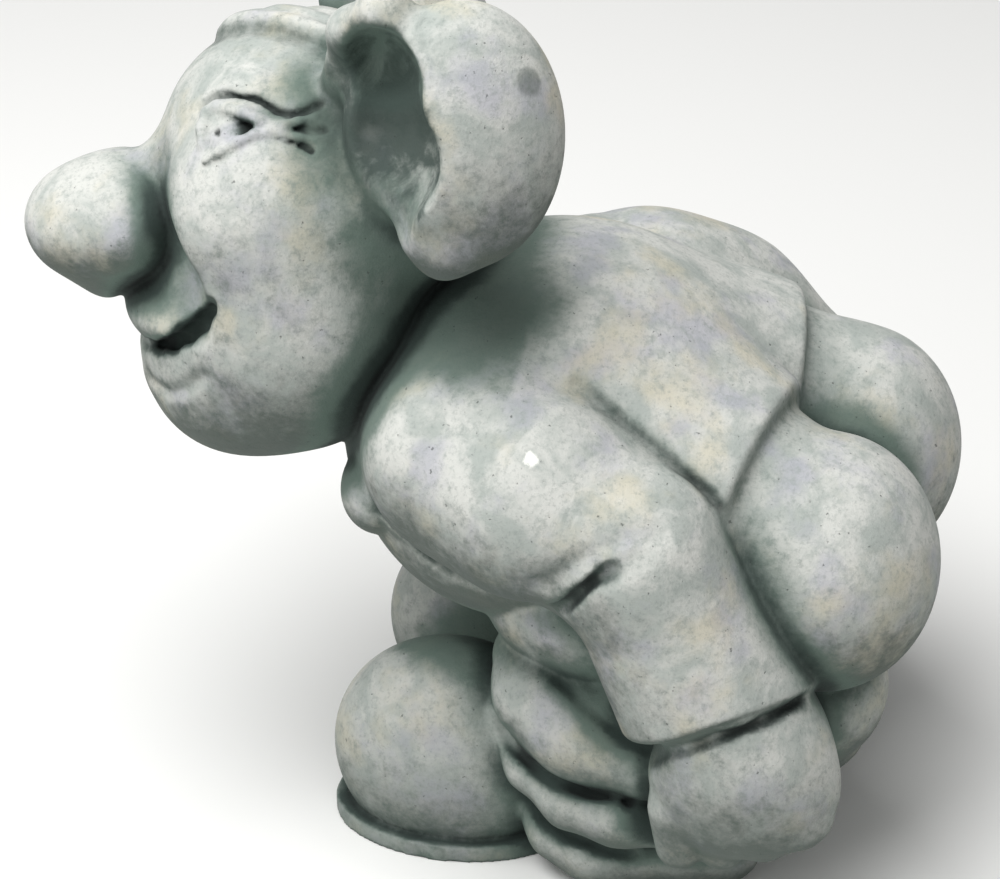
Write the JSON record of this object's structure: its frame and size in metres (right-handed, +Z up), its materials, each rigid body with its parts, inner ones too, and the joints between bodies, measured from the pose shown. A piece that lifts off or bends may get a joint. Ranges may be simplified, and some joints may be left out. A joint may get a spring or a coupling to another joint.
{
  "type": "garden statue",
  "caption": "Cast stone garden statue of a troll bending forward, with a big nose and ears, bare seat, dropped trousers and round shoes",
  "frame": {"origin": "middle of the flat underside, on the ground", "axes": "+Z up, the figure faces -Y, its left side is +X"},
  "size_m": [0.2443, 0.3357, 0.3375],
  "materials": {
    "cast_stone": "matt weathered cast stone, pale grey with green-black dirt in the creases"
  },
  "bodies": {
    "root": {"troll": "cast_stone"}
  },
  "joints": []
}
